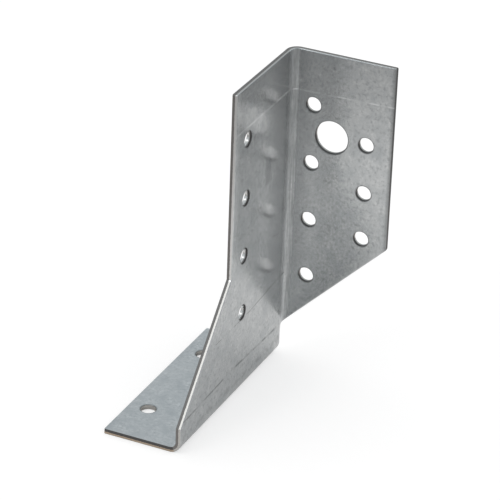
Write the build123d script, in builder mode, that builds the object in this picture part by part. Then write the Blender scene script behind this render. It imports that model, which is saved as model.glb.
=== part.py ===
from build123d import *
from math import radians, tan
import os

# One half of a two-part joist hanger: a zinc-coated steel sheet, punched flat and folded twice.
# The header flange is nailed or bolted to the face of the header, the side plate is nailed to
# the side of the joist, and the joist's bottom edge sits on the seat.
#
# X runs across the joist, Y runs into the header and Z is up. The origin is the joist's bottom
# corner against the header: the joist's side is the plane x = 0, the header's face is y = 0
# and the joist's underside is z = 0. All sizes are in millimetres.

# Sheet
sheet_thickness = 1.75
bend_radius = 2.0
corner_radius = 0.5

# Outline
plate_height = 105.5
flange_width = 35.95
flange_taper_angle = 45.0
taper_height = 43.0
side_top_width = 42.75
toe_height = 7.0
seat_length = 76.05
seat_width = 24.65
relief_radius = 1.2

# Nail holes in the flange and the side plate
nail_hole_diameter = 5.0
nail_edge_distance = 8.7
inner_column_offset = 8.95
nail_row_count = 4
nail_row_pitch = 20.0
top_row_depth = 18.0

# Bolt hole and the flange's outer nail column, whose first hole is level with the bolt
bolt_hole_diameter = 11.0
bolt_hole_offset = 15.55
bolt_row_depth = 27.8
outer_column_upper_step = 16.7
outer_column_lower_step = 16.0

# Nail holes in the seat
seat_hole_edge_distance = 6.7
seat_hole_front_distance = 17.1
seat_hole_pitch = 39.0

# Each fold turns the sheet through a quarter circle, and its outside has this radius.
fold_radius = bend_radius + sheet_thickness

# Heights of the nail rows above the seat, from the top row down
row_heights = [
    plate_height - top_row_depth - row * nail_row_pitch for row in range(nail_row_count)
]
bolt_height = plate_height - bolt_row_depth
outer_column_heights = [
    bolt_height,
    bolt_height - outer_column_upper_step,
    bolt_height - outer_column_upper_step - outer_column_lower_step,
]

# Hole columns, measured from the edge that each one follows
flange_outer_column = flange_width - nail_edge_distance
side_column = nail_edge_distance - side_top_width
seat_column = seat_hole_edge_distance - seat_width
seat_front_hole = seat_hole_front_distance - seat_length
seat_rear_hole = seat_front_hole + seat_hole_pitch

# The flange's lower edge falls towards the fold, and would cross the joist's side plane here.
flange_taper_slope = tan(radians(flange_taper_angle))
flange_foot_height = taper_height - flange_width * flange_taper_slope

# Offcut that the slanted lower edge takes from under the flange. It ends at the side plate's
# rear edge, and its rounded edge there leaves the relief between the two.
with BuildPart() as flange_offcut:
    with BuildSketch(Plane.XZ):
        with BuildLine():
            Polyline(
                (0, 0),
                (0, flange_foot_height),
                (flange_width, taper_height),
                (flange_width, 0),
                close=True,
            )
        make_face()
    extrude(amount=fold_radius)
    slanted_edges = flange_offcut.edges().filter_by(Axis((0, 0, 0), (1, 0, flange_taper_slope)))
    fillet(slanted_edges.sort_by(Axis.Y)[0], radius=relief_radius)

with BuildPart() as hanger_plate:
    # Header flange and upright fold, as one bent section seen from above
    with BuildSketch(Plane.XY):
        with BuildLine():
            upright_fold_centre = (fold_radius, -fold_radius)
            joist_side = CenterArc(upright_fold_centre, fold_radius, 90, 90)
            nailing_side = CenterArc(upright_fold_centre, bend_radius, 90, 90)
            Polyline(
                joist_side @ 0,
                (flange_width, 0),
                (flange_width, -sheet_thickness),
                nailing_side @ 0,
            )
            Line(joist_side @ 1, nailing_side @ 1)
        make_face()
    extrude(amount=plate_height)
    add(flange_offcut.part, mode=Mode.SUBTRACT)
    flange_corners = hanger_plate.edges().filter_by(Axis.Y).group_by(Axis.X)[-1]
    fillet(flange_corners, radius=corner_radius)

    # Side plate: a straight nailing strip on top, widening on a slant down to the seat's toe
    with BuildSketch(Plane.YZ):
        with BuildLine():
            Polyline(
                (-fold_radius, plate_height),
                (-side_top_width, plate_height),
                (-side_top_width, taper_height),
                (-seat_length, toe_height),
                (-seat_length, bend_radius),
                (-fold_radius, bend_radius),
                close=True,
            )
        side_face = make_face()
        top_front_corner = side_face.vertices().group_by(Axis.Y)[1].sort_by(Axis.Z)[-1]
        fillet(top_front_corner, radius=corner_radius)
    extrude(amount=sheet_thickness)

    # Seat and the fold under the side plate, as one bent section seen from the front
    with BuildSketch(Plane.XZ.offset(fold_radius)):
        with BuildLine():
            seat_fold_centre = (-bend_radius, bend_radius)
            underside = CenterArc(seat_fold_centre, fold_radius, -90, 90)
            joist_corner = CenterArc(seat_fold_centre, bend_radius, -90, 90)
            Polyline(
                underside @ 0,
                (-seat_width, -sheet_thickness),
                (-seat_width, 0),
                joist_corner @ 0,
            )
            Line(underside @ 1, joist_corner @ 1)
        make_face()
    extrude(amount=seat_length - fold_radius)
    seat_corners = hanger_plate.edges().filter_by(Axis.Z).group_by(Axis.X)[0]
    fillet(seat_corners, radius=corner_radius)

    # Two nail columns and the bolt hole through the flange
    with BuildSketch(Plane.XZ):
        with Locations(*[(inner_column_offset, height) for height in row_heights]):
            Circle(nail_hole_diameter / 2)
        with Locations(*[(flange_outer_column, height) for height in outer_column_heights]):
            Circle(nail_hole_diameter / 2)
        with Locations((bolt_hole_offset, bolt_height)):
            Circle(bolt_hole_diameter / 2)
    extrude(amount=sheet_thickness, mode=Mode.SUBTRACT)

    # One nail column through the side plate, on the same rows as the flange's inner column
    with BuildSketch(Plane.YZ):
        with Locations(*[(side_column, height) for height in row_heights]):
            Circle(nail_hole_diameter / 2)
    extrude(amount=sheet_thickness, mode=Mode.SUBTRACT)

    # Two nail holes through the seat, into the joist's underside
    with BuildSketch(Plane.XY):
        with Locations((seat_column, seat_front_hole), (seat_column, seat_rear_hole)):
            Circle(nail_hole_diameter / 2)
    extrude(amount=-sheet_thickness, mode=Mode.SUBTRACT)

hanger_plate.part.label = "hanger_plate"
os.makedirs("parts", exist_ok=True)
export_step(hanger_plate.part, "parts/hanger_plate.step")
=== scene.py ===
# %% [markdown]
# # One half of a joist hanger
# A joist hanger carries the end of a floor joist on the face of a header beam. This one is half
# of a pair: one piece of zinc-coated steel sheet, 1.75 mm thick, punched flat and folded twice.
# The flange is nailed to the header, the side plate to the joist, and the joist stands on the
# seat. It is thin, plain and shiny, so nearly all of what the eye reads is in two things: the
# crisp shape of the sheet's edges, and what the zinc reflects.
#
# The lesson follows the factory. It draws the flat blank, gives it the edge that a press leaves,
# punches the holes, folds the sheet, and then works on the zinc and on the light.

# %% Load the shared frame
from math import cos, pi, radians, sin, sqrt, tan
import bmesh
import bpy
import numpy as np
from mathutils import Matrix, Vector
from mathutils.geometry import delaunay_2d_cdt


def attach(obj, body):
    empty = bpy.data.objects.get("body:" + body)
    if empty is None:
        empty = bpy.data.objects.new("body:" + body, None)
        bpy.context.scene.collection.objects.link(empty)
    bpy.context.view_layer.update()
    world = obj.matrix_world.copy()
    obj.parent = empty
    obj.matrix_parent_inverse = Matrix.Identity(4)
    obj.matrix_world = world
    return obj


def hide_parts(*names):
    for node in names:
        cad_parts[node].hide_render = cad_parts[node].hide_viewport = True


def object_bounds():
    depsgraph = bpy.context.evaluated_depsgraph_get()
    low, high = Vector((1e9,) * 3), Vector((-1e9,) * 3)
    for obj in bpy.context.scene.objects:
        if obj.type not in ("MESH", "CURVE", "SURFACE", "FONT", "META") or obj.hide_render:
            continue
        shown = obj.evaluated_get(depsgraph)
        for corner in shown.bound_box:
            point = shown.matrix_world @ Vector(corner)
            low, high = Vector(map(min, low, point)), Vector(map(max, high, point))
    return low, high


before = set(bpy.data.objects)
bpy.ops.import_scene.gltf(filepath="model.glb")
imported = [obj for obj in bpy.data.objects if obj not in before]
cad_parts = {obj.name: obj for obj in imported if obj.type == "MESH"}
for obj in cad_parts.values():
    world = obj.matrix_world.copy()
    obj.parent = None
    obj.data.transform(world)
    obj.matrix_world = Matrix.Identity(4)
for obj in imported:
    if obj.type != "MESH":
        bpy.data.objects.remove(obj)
cad_low, cad_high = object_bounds()
MM = 0.001
print("construction model from", [round(v, 4) for v in cad_low],
      "to", [round(v, 4) for v in cad_high])

# %% [markdown]
# ## The camera
# The photograph is a product shot with a long lens: lines that are parallel on the steel stay
# nearly parallel in the picture. A 200 mm lens from 85 cm away gives that calm look. The camera
# stands to the right of the hanger and above it, and leans two degrees. A camera could be turned
# by three angles, but it is easier to build its axes from the point that it looks at.

# %% Camera
camera_position = Vector((315.83, -725.93, 448.49)) * MM
camera_aim = Vector((5.47, -38.02, 52.36)) * MM
camera_roll = radians(2.085)

camera_data = bpy.data.cameras.new("photo_camera")
camera_data.lens = 199.917
camera_data.sensor_width = 36.0
camera_data.clip_start = 0.01
camera_data.clip_end = 20.0
camera = bpy.data.objects.new("photo_camera", camera_data)
bpy.context.scene.collection.objects.link(camera)
ahead = (camera_aim - camera_position).normalized()
level = ahead.cross(Vector((0, 0, 1))).normalized()
over = level.cross(ahead)
right = level * cos(camera_roll) + over * sin(camera_roll)
up = over * cos(camera_roll) - level * sin(camera_roll)
turn = Matrix((right, up, -ahead)).transposed()
camera.matrix_world = Matrix.Translation(camera_position) @ turn.to_4x4()
bpy.context.scene.camera = camera
bpy.context.scene.view_settings.view_transform = "Standard"
print("camera stands", round((camera_aim - camera_position).length, 3), "m from its aim")

# %% [markdown]
# ## The sizes
# A folded part is drawn twice: as it ends up, and as the flat blank it is cut from. The sizes of
# the finished part are the ones that matter on site, so they are the ones named here. In the
# blank, p runs along the hanger, from the seat's front edge to the flange's free edge, and q
# runs up it, from the seat's free edge to the top.
#
# Folding stretches the outside of the sheet and squeezes the inside. The layer that keeps its
# length lies a little under halfway through, and its arc is the length of blank that a fold uses.

# %% Sizes of the finished part, in millimetres
sheet = 1.75
bend = 2.0
fold = bend + sheet
neutral = bend + 0.44 * sheet
fold_length = neutral * pi / 2

plate_height = 105.5
side_top_width = 42.75
kink_height = 43.0
seat_length = 76.05
toe_height = 7.0
seat_width = 24.65
flange_width = 35.95
flange_foot = 7.05
relief = 1.2
corner = 0.5

flange_end = -fold + fold_length + flange_width - fold
seat_end = bend - fold_length - (seat_width - bend)
print("blank runs p", -seat_length, "to", round(flange_end, 2),
      "and q", round(seat_end, 2), "to", plate_height)

# %% [markdown]
# ## The blank's outline
# Each point of the outline carries a second vector, its inward step: how far it moves when the
# outline shrinks by one millimetre. With it, one outline gives every ring of the rounded edge.
# On a straight edge the step is square to the edge, on a corner's arc it points to the centre,
# and at a plain corner it runs along the bisector.
#
# The sheet is shaded smooth, and smooth shading carries a corner's turned normal along the whole
# edge beside it. So each corner has a guard point close by on both of its edges, and the edges
# between the guards stay truly straight. On polished metal that is easy to see.

# %% Pieces of outline
arc_guard, corner_guard = 0.3, 0.12


def guard(p, q, inward, distance):
    """A point beside a corner, along the edge whose inward direction is given in radians."""
    return p + distance * sin(inward), q - distance * cos(inward), cos(inward), sin(inward)


def arc(centre_p, centre_q, start, end, steps=5):
    """A convex corner: points on its arc, whose inward steps point to the centre."""
    angles = np.linspace(radians(start), radians(end), steps)
    rows = [(centre_p + corner * cos(a), centre_q + corner * sin(a), -cos(a), -sin(a))
            for a in angles]
    before = guard(*rows[0][:2], angles[0] + pi, -arc_guard)
    after = guard(*rows[-1][:2], angles[-1] + pi, arc_guard)
    return [before] + rows + [after]


def plain_corner(p, q, before, after):
    """A corner without an arc, between edges whose inward directions are given in degrees."""
    before, after = radians(before), radians(after)
    a, b = Vector((cos(before), sin(before))), Vector((cos(after), sin(after)))
    step = (a + b) / (1 + a.dot(b))
    return [guard(p, q, before, -corner_guard), (p, q, step.x, step.y),
            guard(p, q, after, corner_guard)]


fold_steps = 16
upright_lines = [-fold + fold_length * i / fold_steps for i in range(fold_steps + 1)]
seat_lines = [bend - fold_length * i / fold_steps for i in range(fold_steps + 1)]
beside_upright, beside_seat = 0.6, 0.5
cap_inset = 0.45
print(len(upright_lines), "bend lines in each fold, one every", 90 / fold_steps, "degrees")

# %% [markdown]
# The flange's lower edge slants at 45 degrees and ends in a small round relief beside the fold,
# which keeps the sheet from tearing there. On the finished part that cut is a simple plane, so
# the curve that it makes in the blank is worked out backwards, point by point through the fold.
# The bend lines have to meet this edge at its own points, or the mesh would show a pinch, so the
# dense curve is sampled where its inset copy crosses each line.

# %% Slanted edge and relief
def slant_height(p):
    """Height of the flange's lower edge above the seat, at blank position p."""
    turned = min(max((p + fold) / neutral, 0.0), pi / 2)
    beyond = max(p + fold - fold_length, 0.0)
    across = fold - bend * cos(turned) + beyond
    past_side = bend * sin(turned)
    drop = 0.0
    if past_side < relief:
        drop = relief - sqrt(relief**2 - (relief - past_side) ** 2)
    return flange_foot + across - sqrt(2) * drop


dense_p = -fold + (flange_end - 1.0 + fold) * np.linspace(0, 1, 4001) ** 2
dense_q = np.array([slant_height(p) for p in dense_p])
slope_p, slope_q = np.gradient(dense_p), np.gradient(dense_q)
slope_length = np.hypot(slope_p, slope_q)
step_p, step_q = -slope_q / slope_length, slope_p / slope_length
inset_p = dense_p + cap_inset * step_p
at_lines = np.interp(upright_lines + [fold_length - fold + beside_upright],
                     inset_p, np.arange(len(dense_p)))
picked = np.unique(np.concatenate([np.linspace(0, at_lines[0], 7), at_lines]))


def picked_row(index):
    """The dense curve's place and inward step, at an index between its points."""
    whole = np.arange(len(dense_p))
    columns = dense_p, dense_q, step_p, step_q
    return tuple(float(np.interp(index, whole, column)) for column in columns)


relief_rows = [picked_row(i) for i in picked]
print("relief starts", round(relief_rows[0][1], 2), "mm above the seat")

# %% Outline, counter-clockwise from the seat's rear corner
toe_slope = np.degrees(np.arctan2(kink_height - toe_height, seat_length - side_top_width))
outline = arc(-fold - corner, seat_end + corner, -90, 0)
outline += [(-fold, q, -1.0, 0.0) for q in reversed([seat_lines[0] + beside_seat] + seat_lines)]
outline += relief_rows
outline += arc(flange_end - corner, flange_width + flange_foot + corner * tan(pi / 8), -45, 0)
outline += arc(flange_end - corner, plate_height - corner, 0, 90)
outline += [(p, plate_height, 0.0, -1.0) for p in reversed(upright_lines)]
outline += [(upright_lines[0] - beside_upright, plate_height, 0.0, -1.0)]
outline += arc(-side_top_width + corner, plate_height - corner, 90, 180)
outline += plain_corner(-side_top_width, kink_height, 0, toe_slope - 90)
outline += plain_corner(-seat_length, toe_height, toe_slope - 90, 0)
outline += [(-seat_length, q, 1.0, 0.0) for q in [seat_lines[0] + beside_seat] + seat_lines]
outline += arc(-seat_length + corner, seat_end + corner, 180, 270)
outline = np.array(outline)
print("outline has", len(outline), "points")

# %% [markdown]
# ## The edge that a press leaves
# A press doesn't cut steel like a knife. It first drags the surface down, which rounds the
# edge, then shears it smooth and bright, and at last the rest breaks away, rough and dark, at a
# slight angle. The photograph shows this on every edge: a soft rim, a bright line and a dark one.
# On the outline the rounded side is the outer face. In the holes it is the joist's side, and the
# dark break shows first, because a hole is pushed out of the sheet and the part is pushed into it.
# A Bevel modifier could round the edges, but it knows nothing of these bands, so the section is
# drawn here: how far in from the edge, and how deep from the rounded side.

# %% Section through the edge
roll_width, roll_depth = 0.34, 0.15
land_depth = 0.86
edge_section = [(cap_inset, 0.0), (roll_width + 0.03, 0.0)]
for a in np.radians((22.5, 45, 67.5, 90)):
    edge_section.append((roll_width * (1 - sin(a)), roll_depth * (1 - cos(a))))
edge_section += [(0.0, roll_depth + 0.06), (0.0, land_depth - 0.04), (0.004, land_depth)]
edge_section += [(0.03, land_depth + 0.04), (0.06, 1.30), (0.08, sheet - 0.06)]
edge_section += [(0.11, sheet - 0.015), (0.16, sheet), (cap_inset, sheet)]
edge_section = np.array(edge_section)
print("the edge section has", len(edge_section), "points")

# %% [markdown]
# ## The faces of the sheet
# The two faces are flat with round openings. A Boolean would cut the openings, and leaves long
# slivers that shade badly. A constrained triangulation takes the rings and the bend lines as
# edges that must stay, and fills the rest with clean triangles. The same fill serves both faces.

# %% Hole plan: blank position and radius of each hole, in millimetres
nail_radius, bolt_radius = 2.5, 5.5
nail_edge_distance, seat_edge_distance = 8.7, 6.7
inner_offset, bolt_offset = 8.95, 15.55
top_row_depth, row_pitch, bolt_depth = 18.0, 20.0, 27.8
outer_steps = (0.0, 16.7, 32.7)
seat_hole_distances = (17.1, 56.1)

row_heights = [plate_height - top_row_depth - row_pitch * row for row in range(4)]
bolt_height = plate_height - bolt_depth
flange_shift = fold_length - 2 * fold
seat_hole_q = 2 * bend - fold_length - (seat_width - seat_edge_distance)
hole_plan = [(nail_edge_distance - side_top_width, height, nail_radius) for height in row_heights]
hole_plan += [(inner_offset + flange_shift, height, nail_radius) for height in row_heights]
hole_plan += [(flange_width - nail_edge_distance + flange_shift, bolt_height - step, nail_radius)
              for step in outer_steps]
hole_plan.append((bolt_offset + flange_shift, bolt_height, bolt_radius))
hole_plan += [(distance - seat_length, seat_hole_q, nail_radius)
              for distance in seat_hole_distances]
print(len(hole_plan), "holes")

# %% Triangulate one face
hole_segments = 48
cap_ring = outline[:, :2] + cap_inset * outline[:, 2:]
plan_points = [tuple(row) for row in cap_ring]
plan_edges = [(i, (i + 1) % len(cap_ring)) for i in range(len(cap_ring))]
for p, q, radius in hole_plan:
    first = len(plan_points)
    for k in range(hole_segments):
        a = 2 * pi * k / hole_segments
        ring_radius = radius + cap_inset
        plan_points.append((p + ring_radius * cos(a), q + ring_radius * sin(a)))
        plan_edges.append((first + k, first + (k + 1) % hole_segments))


def ring_index(p, q):
    """The cap ring's point nearest to a place on the blank."""
    return int(np.argmin(np.hypot(cap_ring[:, 0] - p, cap_ring[:, 1] - q)))


def ring_height(p):
    return float(np.interp(p, inset_p, dense_q + cap_inset * step_q))


for p in upright_lines + [upright_lines[-1] + beside_upright]:
    plan_edges.append((ring_index(p, plate_height - cap_inset), ring_index(p, ring_height(p))))
plan_points.append((upright_lines[0] - beside_upright,
                    ring_height(upright_lines[0]) + beside_upright))
plan_edges.append((ring_index(upright_lines[0] - beside_upright, plate_height), len(plan_points) - 1))
for q in seat_lines + [seat_lines[0] + beside_seat]:
    plan_edges.append((ring_index(-seat_length + cap_inset, q), ring_index(-fold - cap_inset, q)))
plan_points += [(-seat_length + cap_inset + 0.1, seat_lines[-1] - beside_seat),
                (-fold - cap_inset - 0.1, seat_lines[-1] - beside_seat)]
plan_edges.append((len(plan_points) - 2, len(plan_points) - 1))

filled = delaunay_2d_cdt([Vector(v) for v in plan_points], plan_edges, [], 0, 1e-6)
fill_points = np.array([tuple(v) for v in filled[0]])
print("face plan:", len(plan_points), "points in,", len(fill_points), "out,",
      len(filled[2]), "triangles")

# %% Keep the triangles that are steel
def inside_outline(p, q):
    """Counts how often a line to the right of the point crosses the cap ring."""
    ends = np.roll(cap_ring, -1, axis=0)
    crosses = (cap_ring[:, 1] > q) != (ends[:, 1] > q)
    rise = np.where(crosses, ends[:, 1] - cap_ring[:, 1], 1.0)
    at = cap_ring[:, 0] + (q - cap_ring[:, 1]) * (ends[:, 0] - cap_ring[:, 0]) / rise
    return np.count_nonzero(crosses & (at > p)) % 2 == 1


fill_triangles = []
for triangle in filled[2]:
    middle = fill_points[list(triangle)].mean(axis=0)
    in_hole = any(np.hypot(middle[0] - p, middle[1] - q) < r + cap_inset for p, q, r in hole_plan)
    if not in_hole and inside_outline(*middle):
        fill_triangles.append(tuple(triangle))
print(len(fill_triangles), "triangles of steel on each face")

# %% [markdown]
# ## The flat blank as a mesh
# The blank stands in the plane where the side plate will stay, x through the sheet, y along p
# and z along q, so that folding moves only the flange and the seat. Its outer rim is laid ring by
# ring from the edge section. Its points keep how far through the cut they lie, from 0 on the
# rounded side to 1, in an attribute that the steel's material reads later. The holes have no walls
# yet. Each has one loose point at its centre with its radius on it, for the next step to punch.

# %% Build the blank
def place(points, depth):
    """Blank points in millimetres, at a depth from the outline's rounded side, as metres."""
    return [((sheet - depth) * MM, p * MM, q * MM) for p, q in points]


verts, faces = [], []
ring_starts = []
for inset, depth in edge_section:
    ring_starts.append(len(verts))
    verts += place(outline[:, :2] + inset * outline[:, 2:], depth)
count = len(outline)
for above, below in zip(ring_starts, ring_starts[1:]):
    for k in range(count):
        after = (k + 1) % count
        faces.append((above + k, below + k, below + after, above + after))
outer_start = len(verts)
verts += place(fill_points, 0.0)
faces += [tuple(outer_start + i for i in triangle) for triangle in fill_triangles]
inner_start = len(verts)
verts += place(fill_points, sheet)
faces += [tuple(inner_start + i for i in reversed(triangle)) for triangle in fill_triangles]
centre_start = len(verts)
verts += place([(p, q) for p, q, radius in hole_plan], 0.0)

blank_mesh = bpy.data.meshes.new("flat_blank")
blank_mesh.from_pydata(verts, [], faces)
punch_radius = blank_mesh.attributes.new("punch_radius", "FLOAT", "POINT")
radii = np.zeros(len(verts), np.float32)
radii[centre_start:] = [radius * MM for p, q, radius in hole_plan]
punch_radius.data.foreach_set("value", radii)
shear = blank_mesh.attributes.new("shear", "FLOAT", "POINT")
shares = np.zeros(len(verts), np.float32)
shares[: count * len(edge_section)] = np.repeat(edge_section[:, 1] / sheet, count)
shear.data.foreach_set("value", shares)
blank = bpy.data.objects.new("flat_blank", blank_mesh)
bpy.context.scene.collection.objects.link(blank)

section_mesh = bpy.data.meshes.new("edge_section")
section_mesh.from_pydata([(inset * MM, depth * MM, 0) for inset, depth in edge_section], [], [])
section = bpy.data.objects.new("edge_section", section_mesh)
bpy.context.scene.collection.objects.link(section)
print("blank has", len(verts), "points and", len(faces), "faces")

# %% [markdown]
# ## Small helpers for node trees
# Trees built in a script read best when a node and its links are one line. `node` adds a node and
# feeds its inputs, by name or number, with other nodes' outputs or with plain values. The others
# are the few steps that every tree here takes again and again.

# %% Node helpers
def feed(tree, socket, value):
    """Links an output to the socket, or sets the socket's own value."""
    if isinstance(value, bpy.types.NodeSocket):
        tree.links.new(value, socket)
    else:
        socket.default_value = value


def node(tree, kind, inputs=None, **settings):
    """Adds a node. Its settings come first, because they decide which inputs it has."""
    made = tree.nodes.new(kind)
    for name, value in settings.items():
        setattr(made, name, value)
    for name, value in (inputs or {}).items():
        feed(tree, made.inputs[name], value)
    return made


def maths(tree, operation, *values):
    made = node(tree, "ShaderNodeMath", operation=operation)
    for socket, value in zip(made.inputs, values):
        feed(tree, socket, value)
    return made.outputs[0]


def vector_maths(tree, operation, *values):
    made = node(tree, "ShaderNodeVectorMath", operation=operation)
    for socket, value in zip(made.inputs, values):
        feed(tree, socket, value)
    gives_number = operation in ("DOT_PRODUCT", "LENGTH", "DISTANCE")
    return made.outputs["Value" if gives_number else "Vector"]


def times(tree, *values):
    """The product of two or more values."""
    product = values[0]
    for value in values[1:]:
        product = maths(tree, "MULTIPLY", product, value)
    return product


def most(tree, *values):
    """The largest of two or more values."""
    largest = values[0]
    for value in values[1:]:
        largest = maths(tree, "MAXIMUM", largest, value)
    return largest


def inverse(tree, value):
    return maths(tree, "SUBTRACT", 1.0, value)


def map_range(tree, value, low, high, interpolation="LINEAR"):
    """Goes from 0 to 1 as the value goes from low to high."""
    return node(tree, "ShaderNodeMapRange", {"Value": value, "From Min": low, "From Max": high},
                interpolation_type=interpolation).outputs[0]


def parts_of(tree, vector):
    """The outputs X, Y and Z of a vector."""
    return node(tree, "ShaderNodeSeparateXYZ", {0: vector}).outputs


def vector_of(tree, x, y, z=0.0):
    return node(tree, "ShaderNodeCombineXYZ", {0: x, 1: y, 2: z}).outputs[0]


def new_group(name, kind, inputs, outputs):
    """A node group with named sockets, given as (name, type) or (name, type, default)."""
    tree = bpy.data.node_groups.new(name, kind)
    for direction, rows in (("INPUT", inputs), ("OUTPUT", outputs)):
        for label, value_type, *default in rows:
            made = tree.interface.new_socket(label, in_out=direction,
                                             socket_type="NodeSocket" + value_type)
            if default:
                made.default_value = default[0]
    return tree, tree.nodes.new("NodeGroupInput").outputs, tree.nodes.new("NodeGroupOutput")


print("helpers ready")

# %% Helpers for geometry trees
def position(tree):
    return node(tree, "GeometryNodeInputPosition").outputs[0]


def named(tree, name, data_type="FLOAT"):
    """Reads a named attribute of the geometry that passes through."""
    return node(tree, "GeometryNodeInputNamedAttribute", {"Name": name},
                data_type=data_type).outputs[0]


def store(tree, geometry, name, value, data_type="FLOAT", domain="POINT"):
    """Writes a named attribute, and gives the geometry that carries it."""
    return node(tree, "GeometryNodeStoreNamedAttribute",
                {"Geometry": geometry, "Name": name, "Value": value},
                data_type=data_type, domain=domain).outputs[0]


print("geometry helpers ready")

# %% [markdown]
# ## Punching with Geometry Nodes
# Fourteen holes in two sizes share one rule, so Geometry Nodes punch them. At each centre point
# stands a small grid. One side of the grid becomes the way round the hole and the other becomes
# the way through the sheet, which is looked up in the edge section. A bigger hole then gets the
# same edge as a small one, which scaling an instance wouldn't give. The wall also keeps how near
# to the rim each point is, which the zinc uses for painted shade close to each hole's rolled rim.

# %% Node group: hole wall
wall_tree, wall_in, wall_out = new_group(
    "Hole wall", "GeometryNodeTree",
    [("Centres", "Geometry"), ("Edge section", "Geometry"), ("Sheet thickness", "Float", sheet * MM),
     ("Segments", "Int", hole_segments)],
    [("Walls", "Geometry")])
t = wall_tree
section_size = node(t, "GeometryNodeAttributeDomainSize", {0: wall_in["Edge section"]},
                    component="MESH")
rows = section_size.outputs["Point Count"]
columns = maths(t, "ADD", wall_in["Segments"], 1)
grid = node(t, "GeometryNodeMeshGrid",
            {"Size X": 1.0, "Size Y": 1.0, "Vertices X": columns, "Vertices Y": rows})
centres = store(t, wall_in["Centres"], "punch_centre", position(t), "FLOAT_VECTOR")
walls = node(t, "GeometryNodeInstanceOnPoints", {"Points": centres, "Instance": grid.outputs[0]})
walls = node(t, "GeometryNodeRealizeInstances", {0: walls.outputs[0]}).outputs[0]

centre_at = named(t, "punch_centre", "FLOAT_VECTOR")
local = parts_of(t, vector_maths(t, "SUBTRACT", position(t), centre_at))
centre_at = parts_of(t, centre_at)
angle = times(t, maths(t, "ADD", local["X"], 0.5), 2 * pi)
row = times(t, maths(t, "ADD", local["Y"], 0.5), maths(t, "SUBTRACT", rows, 1.0))
looked_up = node(t, "GeometryNodeSampleIndex",
                 {"Geometry": wall_in["Edge section"], "Value": position(t),
                  "Index": maths(t, "ROUND", row)}, data_type="FLOAT_VECTOR", domain="POINT")
looked_up = parts_of(t, looked_up.outputs[0])
reach = maths(t, "ADD", named(t, "punch_radius"), looked_up["X"])
wall_point = vector_of(t, looked_up["Y"],
                       maths(t, "MULTIPLY_ADD", reach, maths(t, "COSINE", angle), centre_at["Y"]),
                       maths(t, "MULTIPLY_ADD", reach, maths(t, "SINE", angle), centre_at["Z"]))
share = maths(t, "DIVIDE", looked_up["Y"], wall_in["Sheet thickness"])
rim = maths(t, "MULTIPLY_ADD", looked_up["X"], -1 / (cap_inset * MM), 1.0)
walls = store(t, walls, "shear", share)
walls = store(t, walls, "hole_rim", rim)
walls = node(t, "GeometryNodeSetPosition", {"Geometry": walls, "Position": wall_point}).outputs[0]
feed(t, wall_out.inputs[0], node(t, "GeometryNodeFlipFaces", {0: walls}).outputs[0])
print("hole wall group has", len(t.nodes), "nodes")

# %% [markdown]
# ## Folding with Geometry Nodes
# A fold follows one rule, so it is a node group used twice. A point's distance past the bend line
# becomes an angle, up to a quarter turn. Its distance from the fold's centre is the radius it
# swings on, and what is left of its distance carries on straight. Simple Deform could bend a
# mesh too, but it bends all of it, and no press does that.

# %% Node group: bend
bend_tree, bend_in, bend_out = new_group(
    "Bend", "GeometryNodeTree",
    [("Past the line", "Float"), ("Swing radius", "Float"), ("Neutral radius", "Float", neutral * MM)],
    [("Level part", "Float"), ("Rising part", "Float"), ("Beyond", "Float")])
t = bend_tree
past_line, swing, neutral_radius = bend_in[0], bend_in[1], bend_in[2]
quarter = maths(t, "MINIMUM", maths(t, "DIVIDE", past_line, neutral_radius), pi / 2)
quarter = most(t, quarter, 0.0)
left_over = maths(t, "SUBTRACT", past_line, times(t, quarter, neutral_radius))
feed(t, bend_out.inputs[0], times(t, swing, maths(t, "COSINE", quarter)))
feed(t, bend_out.inputs[1], times(t, swing, maths(t, "SINE", quarter)))
feed(t, bend_out.inputs[2], most(t, left_over, 0.0))
print("bend group has", len(t.nodes), "nodes")

# %% Tree: punch the holes
weld_distance = 2e-6

press_tree, press_in, press_out = new_group(
    "Punch and fold", "GeometryNodeTree",
    [("Blank", "Geometry"), ("Edge section", "Object"), ("Sheet thickness", "Float", sheet * MM),
     ("Bend radius", "Float", bend * MM), ("Neutral radius", "Float", neutral * MM),
     ("Hole segments", "Int", hole_segments), ("Zinc", "Material"), ("Sheared steel", "Material")],
    [("Hanger", "Geometry")])
t = press_tree
thickness, bend_radius = press_in["Sheet thickness"], press_in["Bend radius"]
is_centre = maths(t, "GREATER_THAN", named(t, "punch_radius"), 0.0)
parts = node(t, "GeometryNodeSeparateGeometry",
             {"Geometry": press_in["Blank"], "Selection": is_centre}, domain="POINT")
section_info = node(t, "GeometryNodeObjectInfo", {"Object": press_in["Edge section"]})
walls = node(t, "GeometryNodeGroup",
             {"Centres": parts.outputs[0], "Edge section": section_info.outputs["Geometry"],
              "Sheet thickness": thickness, "Segments": press_in["Hole segments"]},
             node_tree=wall_tree)
joined = node(t, "GeometryNodeJoinGeometry")
for part in (walls.outputs[0], parts.outputs[1]):
    t.links.new(part, joined.inputs[0])
whole = node(t, "GeometryNodeMergeByDistance",
             {"Geometry": joined.outputs[0], "Distance": weld_distance}).outputs[0]
print("punching laid out")

# %% [markdown]
# Before the sheet is folded, its flat places are written into the mesh. The UV map `blank` keeps
# p and q, so that the zinc's grain runs round the folds as it does on real sheet, and `depth`
# keeps how far through the sheet a point lies, from 0 on the joist's side to 1.

# %% Marks on the flat blank, then the two folds
flat = parts_of(t, position(t))
whole = store(t, whole, "blank", vector_of(t, flat["Y"], flat["Z"]), "FLOAT2", "CORNER")
whole = store(t, whole, "depth", maths(t, "DIVIDE", flat["X"], thickness))


def turn_past(past, swing):
    """Places the bend group, and gives its level part, its rising part and what is beyond."""
    return node(t, "GeometryNodeGroup", {0: past, 1: swing, 2: press_in["Neutral radius"]},
                node_tree=bend_tree).outputs


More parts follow.
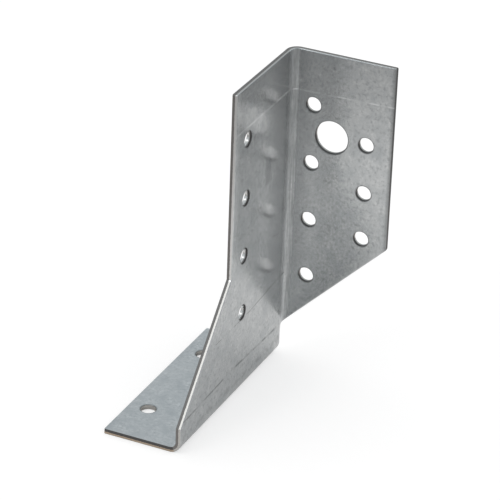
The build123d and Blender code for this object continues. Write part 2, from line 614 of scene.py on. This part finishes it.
def move_past(geometry, past, place):
    """Moves only the points that lie past the bend line."""
    return node(t, "GeometryNodeSetPosition",
                {"Geometry": geometry, "Selection": maths(t, "GREATER_THAN", past, 0.0),
                 "Position": place}).outputs[0]


outer_radius = maths(t, "ADD", bend_radius, thickness)
here = parts_of(t, position(t))
past = maths(t, "ADD", here["Y"], outer_radius)
level_part, rising_part, beyond = turn_past(past, maths(t, "SUBTRACT", outer_radius, here["X"]))
across = maths(t, "ADD", maths(t, "SUBTRACT", outer_radius, level_part), beyond)
along = maths(t, "SUBTRACT", rising_part, outer_radius)
whole = move_past(whole, past, vector_of(t, across, along, here["Z"]))

here = parts_of(t, position(t))
past = maths(t, "SUBTRACT", bend_radius, here["Z"])
level_part, rising_part, beyond = turn_past(past, maths(t, "ADD", bend_radius, here["X"]))
across = maths(t, "SUBTRACT", maths(t, "SUBTRACT", level_part, bend_radius), beyond)
down = maths(t, "SUBTRACT", bend_radius, rising_part)
whole = move_past(whole, past, vector_of(t, across, here["Y"], down))
print("folds laid out")

# %% [markdown]
# ## The zinc
# Hot-dip galvanised sheet is a mirror that has been breathed on. It has almost no colour of its
# own: a bright grey, a little blue, that shows whatever it faces with soft edges. What makes it
# zinc and not plain grey is its grain. The coating freezes into faint patches a millimetre or two
# across, drawn out in the direction in which the sheet was rolled, and these differ in gloss more
# than in colour. The grain is a shader group on the `blank` map, so it can be placed at several
# sizes, and each one drives a little colour, a little roughness and a little bump.

# %% Shader group: rolled grain
grain_tree, grain_in, grain_out = new_group(
    "Rolled grain", "ShaderNodeTree",
    [("Place", "Vector"), ("Width", "Float", 0.8), ("Length", "Float", 2.0), ("Shift", "Float", 0.0)],
    [("Grain", "Float")])
t = grain_tree
at = parts_of(t, grain_in["Place"])
scaled = vector_of(t, maths(t, "DIVIDE", at["X"], grain_in["Width"]),
                   maths(t, "DIVIDE", at["Y"], grain_in["Length"]), grain_in["Shift"])
noise = node(t, "ShaderNodeTexNoise",
             {"Vector": scaled, "Scale": 1.0, "Detail": 2.0, "Roughness": 0.55}).outputs[0]
feed(t, grain_out.inputs[0], map_range(t, noise, 0.3, 0.7))
print("rolled grain group ready")

# %% [markdown]
# Marks are lines: a pale one where a roller touched the sheet, a dark scratch, the dashed print
# of the press tool along the seat's fold. One group draws them all, as the distance to a line
# between two places on the blank, broken up where noise says that the tool skipped.

# %% Shader group: drawn line
line_tree, line_in, line_out = new_group(
    "Drawn line", "ShaderNodeTree",
    [("Place", "Vector"), ("Start", "Vector"), ("End", "Vector"), ("Width", "Float", 0.3),
     ("Gaps", "Float", 0.0), ("Gap length", "Float", 2.0)],
    [("Mark", "Float")])
t = line_tree
run = vector_maths(t, "SUBTRACT", line_in["End"], line_in["Start"])
off = vector_maths(t, "SUBTRACT", line_in["Place"], line_in["Start"])
share = maths(t, "DIVIDE", vector_maths(t, "DOT_PRODUCT", off, run),
              vector_maths(t, "DOT_PRODUCT", run, run))
share = maths(t, "MINIMUM", most(t, share, 0.0), 1.0)
nearest = node(t, "ShaderNodeVectorMath", {0: run, "Scale": share}, operation="SCALE").outputs[0]
away = vector_maths(t, "LENGTH", vector_maths(t, "SUBTRACT", off, nearest))
line = map_range(t, away, line_in["Width"], 0.0, "SMOOTHSTEP")
gap_size = vector_of(t, line_in["Gap length"], line_in["Gap length"], 1.0)
beat_at = vector_maths(t, "DIVIDE", line_in["Place"], gap_size)
beat = node(t, "ShaderNodeTexNoise", {"Vector": beat_at, "Scale": 1.0, "Detail": 1.0}).outputs[0]
skipped = times(t, line_in["Gaps"], inverse(t, map_range(t, beat, 0.42, 0.56)))
feed(t, line_out.inputs[0], times(t, line, inverse(t, skipped)))
print("drawn line group ready")

# %% Helpers for materials
def new_material(name):
    """A material with one Principled shader: the material, its tree and the shader."""
    made = bpy.data.materials.new(name)
    made.use_nodes = True
    made.node_tree.nodes.clear()
    shader = made.node_tree.nodes.new("ShaderNodeBsdfPrincipled")
    output = made.node_tree.nodes.new("ShaderNodeOutputMaterial")
    made.node_tree.links.new(shader.outputs[0], output.inputs[0])
    return made, made.node_tree, shader


def group(tree, made, inputs):
    """Places a group in a tree, and feeds it by its sockets' names."""
    return node(tree, "ShaderNodeGroup", inputs, node_tree=made).outputs[0]


def mix_colour(tree, share, first, second):
    made = node(tree, "ShaderNodeMix", data_type="RGBA")
    for socket, value in ((made.inputs[0], share), (made.inputs[6], first), (made.inputs[7], second)):
        feed(tree, socket, value)
    return made.outputs[2]


def attribute(tree, name):
    return node(tree, "ShaderNodeAttribute", attribute_name=name).outputs["Fac"]


def flat_millimetres(tree):
    """The place on the flat blank in millimetres: p as X and q as Y."""
    flat_map = node(tree, "ShaderNodeUVMap", uv_map="blank").outputs[0]
    return node(tree, "ShaderNodeVectorMath", {0: flat_map, "Scale": 1 / MM},
                operation="SCALE").outputs[0]


print("material helpers ready")

# %% Zinc material: grain and marks
zinc, t, shader = new_material("galvanised_zinc")
flat_mm = flat_millimetres(t)


def grain(width, length, shift):
    """Rolled grain of one size in millimetres, with a pattern of its own."""
    return group(t, grain_tree, {"Place": flat_mm, "Width": width, "Length": length, "Shift": shift})


def mark(start, end, width, gaps, gap_length):
    """A drawn line on the zinc, between two places on the blank in millimetres."""
    return group(t, line_tree, {"Place": flat_mm, "Start": (*start, 0), "End": (*end, 0),
                                "Width": width, "Gaps": gaps, "Gap length": gap_length})


fine = grain(0.80, 1.05, 3.0)
fleck = map_range(t, grain(1.15, 1.4, 7.0), 0.55, 0.95)
patch = grain(3.8, 4.6, 11.0)
cloud = grain(12.0, 16.0, 23.0)
streak = grain(0.55, 9.0, 31.0)

roll_line = most(t, mark((-42.5, 91.5), (-3.7, 91.95), 0.60, 0.4, 5.0),
                 mark((-3.7, 91.7), (33.0, 92.4), 0.40, 0.9, 6.0))
# Painted highlights: ragged pale lines where the upright fold starts and ends.
fold_highlight_lines = most(t, mark((-4.0, 12.0), (-4.0, 105.0), 0.60, 0.7, 3.5),
                  mark((0.4, 12.0), (0.4, 105.0), 0.42, 0.9, 3.5))
scratch = most(t, mark((-2.5, 27.2), (-29.1, 25.2), 0.34, 0.4, 5.0),
               mark((-29.1, 25.2), (-52.5, 25.1), 0.28, 0.9, 4.0),
               mark((-1.0, 42.2), (-14.0, 44.7), 0.24, 1.0, 5.0))
tool_print = most(t, mark((-7.0, 8.8), (-40.5, 9.95), 0.70, 0.75, 4.0),
                  mark((-40.5, 9.95), (-74.0, 8.75), 0.56, 0.85, 4.0))
# Painted shade: a soft dark band on the side plate just above the seat's fold.
seat_fold_shade_band = most(t, mark((-5.0, 3.6), (-58.0, 3.9), 1.7, 1.0, 3.0),
              mark((-60.0, 3.7), (-74.0, 3.4), 1.2, 1.0, 4.0))
seen_face = maths(t, "GREATER_THAN", attribute(t, "depth"), 0.5)
roll_line, scratch, tool_print, seat_fold_shade_band = (times(t, lines, seen_face)
                                          for lines in (roll_line, scratch, tool_print, seat_fold_shade_band))
print("zinc has its grain and marks")

# %% [markdown]
# The fold is streaked along its length and painted with light and shade: paler on its part
# beside the side plate, darker on its part beside the flange, with ragged pale lines, painted
# highlights, where it starts and ends. Beside it, the upper side plate is painted darker, a
# painted shade, and the flange is a little paler. All these places follow p and q, so they are
# masks on the `blank` map.

# %% Masks for the fold and the zinc beside it
def ramp(value, none, full):
    """Rises smoothly from 0 to 1 between two values."""
    return map_range(t, value, none, full, "SMOOTHSTEP")


place_p, place_q = parts_of(t, flat_mm)[:2]
in_fold = times(t, ramp(place_p, -5.3, -3.8), ramp(place_p, 0.9, 0.0))
left_of_fold = ramp(place_p, -1.2, -3.3)
right_of_fold = times(t, ramp(place_p, 14.0, 2.0), ramp(place_p, -0.8, 0.4))
# Painted shade: the side plate is darker beside the upright fold, from a little above the seat
# upwards.
fold_side_shade = times(t, ramp(place_p, -22.5, -7.5), ramp(place_p, -4.4, -6.2), seen_face,
             ramp(place_q, 10.0, 36.0))
dull_bar = times(t, ramp(place_p, -21.1, -18.9), ramp(place_p, -14.9, -17.1),
                 ramp(place_q, 64.6, 66.6), ramp(place_q, 76.0, 72.0), seen_face)
on_seat = ramp(place_q, -1.0, -4.0)
# Painted shade: the zinc is darker close to each hole's rolled rim and along the flange's free edge.
painted_rim_shade = most(t, ramp(attribute(t, "hole_rim"), 0.0, 0.30),
                ramp(place_p, flange_end - 1.4, flange_end - 0.2))
# Painted highlight: a paler band on the side plate just inside its front edge, from above the kink
# upwards, broken up by the grain.
front_edge_highlight = times(t, ramp(place_p, -38.9, -42.4), ramp(place_q, 46.0, 64.0),
                  maths(t, "MULTIPLY_ADD", patch, -0.6, 1.1))
print("fold masks ready")

# %% [markdown]
# All the tints are one grey, a little blue, and differ in how light they are. Each row below
# lays one tint over what came before. Roughness differs too: where a patch is glossier, the
# reflection of the pale room comes through sharper. The bump is tiny, a few micrometres, enough
# to make the edges of reflections ragged and no more.

# %% Zinc colour
paler = most(t, times(t, front_edge_highlight, 0.65), times(t, right_of_fold, 0.32))
# Painted shade and highlight in the upright fold, both streaked: paler on the part beside the side
# plate, darker on the part beside the flange.
streaked_fold_shade = times(t, in_fold, inverse(t, left_of_fold), maths(t, "MULTIPLY_ADD", streak, 0.9, 0.1))
streaked_fold_highlight = times(t, in_fold, left_of_fold, maths(t, "MULTIPLY_ADD", streak, -0.8, 0.9))
flecks = times(t, fleck, maths(t, "MULTIPLY_ADD", on_seat, -0.4, 0.65))
dark_marks = most(t, scratch, tool_print)

base = mix_colour(t, fine, (0.520, 0.533, 0.535, 1), (0.770, 0.778, 0.775, 1))
for share, tint in ((patch, (0.510, 0.530, 0.538, 1)),
                    (times(t, cloud, 0.4), (0.690, 0.695, 0.690, 1)),
                    (flecks, (0.400, 0.412, 0.415, 1)),
                    (times(t, fold_side_shade, 0.86), (0.330, 0.340, 0.345, 1)),
                    (times(t, dull_bar, 0.65), (0.330, 0.340, 0.345, 1)),
                    (paler, (0.900, 0.910, 0.910, 1)),
                    (streaked_fold_shade, (0.330, 0.340, 0.340, 1)),
                    (streaked_fold_highlight, (0.860, 0.870, 0.870, 1)),
                    (times(t, fold_highlight_lines, 0.30), (0.860, 0.870, 0.870, 1)),
                    (times(t, painted_rim_shade, 0.6), (0.230, 0.235, 0.235, 1)),
                    (times(t, roll_line, 0.7), (0.940, 0.950, 0.950, 1)),
                    (times(t, dark_marks, 0.85), (0.200, 0.206, 0.206, 1)),
                    (times(t, seat_fold_shade_band, 0.45), (0.330, 0.336, 0.336, 1))):
    base = mix_colour(t, share, base, tint)
feed(t, shader.inputs["Base Color"], base)
shader.inputs["Metallic"].default_value = 1.0
print("zinc colour ready")

# %% Zinc gloss and bump
rough = maths(t, "MULTIPLY_ADD", patch, 0.05, 0.16)
rough = maths(t, "MULTIPLY_ADD", fine, 0.04, rough)
rough = maths(t, "MULTIPLY_ADD", in_fold, 0.14, rough)
feed(t, shader.inputs["Roughness"], rough)
height = maths(t, "MULTIPLY_ADD", patch, 1.4, fine)
height = times(t, height, maths(t, "MULTIPLY_ADD", on_seat, -0.4, 1.0))
height = maths(t, "SUBTRACT", height, times(t, dark_marks, 1.5))
bump = node(t, "ShaderNodeBump", {"Strength": 1.0, "Distance": 0.004 * MM, "Height": height})
feed(t, shader.inputs["Normal"], bump.outputs[0])
print("zinc ready")

# %% [markdown]
# ## The sheared steel
# The cut edges show bare steel. The `shear` attribute says how far through the cut each point
# lies, so one material can hold both bands: bright and smooth down to the break, then brown-grey
# and rough, with a torn line between them. Where the break starts depends on the tool's gap: it
# starts early along the top, almost at once along the flange's free edge, and late in the side
# plate's holes, while the seat's holes show the smooth band only. The slanted edge faces the
# lamp, so its smooth band is a little darker than the others.

# %% Sheared steel: where it is
cut, t, shader = new_material("sheared_steel")
flat_mm = flat_millimetres(t)
place_p, place_q = parts_of(t, flat_mm)[:2]
before_kink = -side_top_width - 0.4
in_hole = maths(t, "GREATER_THAN", attribute(t, "hole_rim"), 0.4)
on_top = maths(t, "GREATER_THAN", place_q, plate_height - 0.2)
on_free_edge = maths(t, "GREATER_THAN", place_p, flange_end - 0.2)
on_seat = maths(t, "LESS_THAN", place_q, -1.0)
on_front = times(t, maths(t, "GREATER_THAN", place_p, before_kink),
                 maths(t, "LESS_THAN", place_p, -20.0), inverse(t, most(t, on_top, on_seat)))
on_slant = times(t, maths(t, "LESS_THAN", place_p, before_kink),
                 maths(t, "GREATER_THAN", place_q, toe_height))
print("sheared edges told apart")

# %% Sheared steel: its two bands
tear = grain(0.5, 0.5, 5.0)
torn_line = maths(t, "MULTIPLY_ADD", tear, 0.08, 0.43)
for place_here, later in ((on_top, -0.12), (on_free_edge, -0.40),
                          (times(t, in_hole, on_front), 0.16), (times(t, in_hole, on_seat), 0.60)):
    torn_line = maths(t, "MULTIPLY_ADD", place_here, later, torn_line)
broken = map_range(t, maths(t, "SUBTRACT", attribute(t, "shear"), torn_line), -0.02, 0.02)
torn_steel = mix_colour(t, most(t, in_hole, on_free_edge, on_seat),
                        (0.250, 0.235, 0.225, 1), (0.115, 0.110, 0.107, 1))
smooth_steel = (0.54, 0.522, 0.495, 1)
for share, tint in ((on_front, (0.74, 0.730, 0.715, 1)),
                    (on_slant, (0.45, 0.437, 0.420, 1)),
                    (times(t, on_seat, inverse(t, in_hole)), (0.50, 0.400, 0.310, 1))):
    smooth_steel = mix_colour(t, share, smooth_steel, tint)
feed(t, shader.inputs["Base Color"], mix_colour(t, broken, smooth_steel, torn_steel))
shader.inputs["Metallic"].default_value = 1.0
feed(t, shader.inputs["Roughness"], maths(t, "MULTIPLY_ADD", broken, 0.25, 0.25))
bump = node(t, "ShaderNodeBump",
            {"Strength": 1.0, "Distance": 0.02 * MM, "Height": times(t, tear, broken)})
feed(t, shader.inputs["Normal"], bump.outputs[0])
print("sheared steel ready")

# %% [markdown]
# ## Press the hanger
# The tree ends by shading the sheet smooth and giving each face its material. The result is then
# taken out of the modifier as a plain mesh.

# %% Finish the tree
t = press_tree


def between(value, low, high):
    """1 where a value lies between two others, else 0."""
    return times(t, maths(t, "GREATER_THAN", value, low), maths(t, "LESS_THAN", value, high))


is_cut = times(t, between(named(t, "depth"), 0.01, 0.99), between(named(t, "shear"), 0.1, 0.99))
whole = store(t, whole, "sheared", is_cut, "BOOLEAN", "FACE")
whole = node(t, "GeometryNodeSetShadeSmooth", {0: whole}).outputs[0]
whole = node(t, "GeometryNodeSetMaterial",
             {"Geometry": whole, "Material": press_in["Zinc"]}).outputs[0]
whole = node(t, "GeometryNodeRealizeInstances", {0: whole}).outputs[0]
whole = node(t, "GeometryNodeSetMaterial",
             {"Geometry": whole, "Selection": named(t, "sheared", "BOOLEAN"),
              "Material": press_in["Sheared steel"]}).outputs[0]
feed(t, press_out.inputs[0], whole)
print("the tree has", len(t.nodes), "nodes")

# %% Press
press = blank.modifiers.new("punch_and_fold", "NODES")
press.node_group = press_tree
sockets = {item.name: item.identifier for item in press_tree.interface.items_tree
           if item.in_out == "INPUT"}
for name, value in (("Edge section", section), ("Sheet thickness", sheet * MM),
                    ("Bend radius", bend * MM), ("Neutral radius", neutral * MM),
                    ("Hole segments", hole_segments), ("Zinc", zinc), ("Sheared steel", cut)):
    press[sockets[name]] = value

pressed = blank.evaluated_get(bpy.context.evaluated_depsgraph_get())
hanger_mesh = bpy.data.meshes.new_from_object(pressed)
hanger_mesh.name = "hanger_sheet"
for index in reversed(range(len(hanger_mesh.materials))):
    if hanger_mesh.materials[index] is None:
        hanger_mesh.materials.pop(index=index)
bpy.data.objects.remove(blank)
bpy.data.objects.remove(section)
hanger = bpy.data.objects.new("hanger_sheet", hanger_mesh)
bpy.context.scene.collection.objects.link(hanger)
print("hanger has", len(hanger_mesh.vertices), "points,", len(hanger_mesh.polygons), "faces and",
      len(hanger_mesh.materials), "materials")

# %% [markdown]
# A thin sheet can hide mistakes, so the mesh is measured before it is used. On a closed mesh
# every edge has exactly two faces, and the volume comes out positive when the faces point
# outwards. The volume also has to be close to that of the construction model, a little under it
# because the press's rounded edges take some steel away.
#
# Twelve edges fail the first test, six on each face of the sheet. They are at the toe's upper
# corner, where the guard points stand closer to the corner than the cap ring is inset, so that
# ring doubles back by 0.06 mm. The doubled edges lie on the same lines, so no gap can be seen,
# but the mesh isn't strictly closed there. A guard distance over 0.18 mm would cure it.

# %% Check the mesh
check = bmesh.new()
check.from_mesh(hanger_mesh)
open_edges = sum(1 for edge in check.edges if len(edge.link_faces) != 2)
loose = sum(1 for vert in check.verts if not vert.link_faces)
turned_over = sum(1 for edge in check.edges if not edge.is_contiguous)
volume = check.calc_volume(signed=True) / MM**3
check.free()
print("open edges", open_edges, "loose points", loose, "turned faces", turned_over)
print("volume", round(volume, 1), "cubic mm")

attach(hanger, "root")
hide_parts("hanger_plate")

# %% [markdown]
# ## Floor, room and light
# The photograph is a cut-out on pure white. What the room was like can be read in the zinc: the
# lower steel mirrors a pale table, brightest close to the hanger, and both faces go darker
# towards the top, where they mirror the table further out. So the floor here is pale and keeps a
# soft shadow. To the camera it adds a glow of its own, so that it looks white without more light
# on the steel. In reflections it has no glow, and it carries a painted pool of light: its colour
# is painted darker with distance, as a table under a softbox is lit.

# %% Floor
half = 4.0
fade_centre = (-7 * MM, 10 * MM, cad_low.z)
fade_start, fade_end = 140 * MM, 285 * MM

floor_mesh = bpy.data.meshes.new("floor")
floor_mesh.from_pydata([(-half, -half, cad_low.z), (half, -half, cad_low.z), (half, half, cad_low.z),
                        (-half, half, cad_low.z)], [], [(0, 1, 2, 3)])
floor = bpy.data.objects.new("floor", floor_mesh)
bpy.context.scene.collection.objects.link(floor)
paper, t, shader = new_material("pale_floor")
shader.inputs["Roughness"].default_value = 0.9
shader.inputs["Specular IOR Level"].default_value = 0.2
shader.inputs["Emission Color"].default_value = (1, 1, 1, 1)
path = node(t, "ShaderNodeLightPath").outputs
feed(t, shader.inputs["Emission Strength"], times(t, path["Is Camera Ray"], 0.58))
floor_at = node(t, "ShaderNodeTexCoord").outputs["Object"]
wide = vector_maths(t, "MULTIPLY", floor_at, (1.5, 1.0, 1.0))
further = map_range(t, vector_maths(t, "DISTANCE", wide, fade_centre), fade_start, fade_end,
                    "SMOOTHSTEP")
in_reflection = most(t, path["Is Glossy Ray"], path["Is Transmission Ray"])
# Painted pool of light, seen only in reflections: the floor's colour darkens with distance from the
# hanger.
painted_light_pool = mix_colour(t, further, (0.88, 0.88, 0.88, 1), (0.44, 0.44, 0.44, 1))
table = mix_colour(t, in_reflection, (0.80, 0.80, 0.80, 1), painted_light_pool)
table = mix_colour(t, path["Is Camera Ray"], table, (0.52, 0.52, 0.52, 1))
feed(t, shader.inputs["Base Color"], table)
floor_mesh.materials.append(paper)
print("floor at", round(cad_low.z, 4))

# %% World
world = bpy.data.worlds.new("pale_room")
bpy.context.scene.world = world
world.use_nodes = True
t = world.node_tree
background = t.nodes["Background"]
path = node(t, "ShaderNodeLightPath").outputs
in_reflection = most(t, path["Is Glossy Ray"], path["Is Transmission Ray"])
room_colour = mix_colour(t, in_reflection, (0.85, 0.85, 0.85, 1), (0.60, 0.643, 0.670, 1))
room_colour = mix_colour(t, path["Is Camera Ray"], room_colour, (1, 1, 1, 1))
feed(t, background.inputs["Color"], room_colour)
background.inputs["Strength"].default_value = 1.0
print("world ready")

# %% [markdown]
# One square softbox stands to the left of the camera and higher than it. It is weak, because
# the pale room already lights the steel. The slanted edge faces it and catches its shine.

# %% Softbox
lamp_data = bpy.data.lights.new("key_softbox", "AREA")
lamp_data.shape = "SQUARE"
lamp_data.size = 0.30
lamp_data.energy = 0.55
lamp = bpy.data.objects.new("key_softbox", lamp_data)
lamp.location = (-0.364, -0.590, 0.740)
lamp.rotation_mode = "QUATERNION"
lamp.rotation_quaternion = (camera_aim - lamp.location).to_track_quat("-Z", "Y")
bpy.context.scene.collection.objects.link(lamp)
print("softbox faces the hanger")
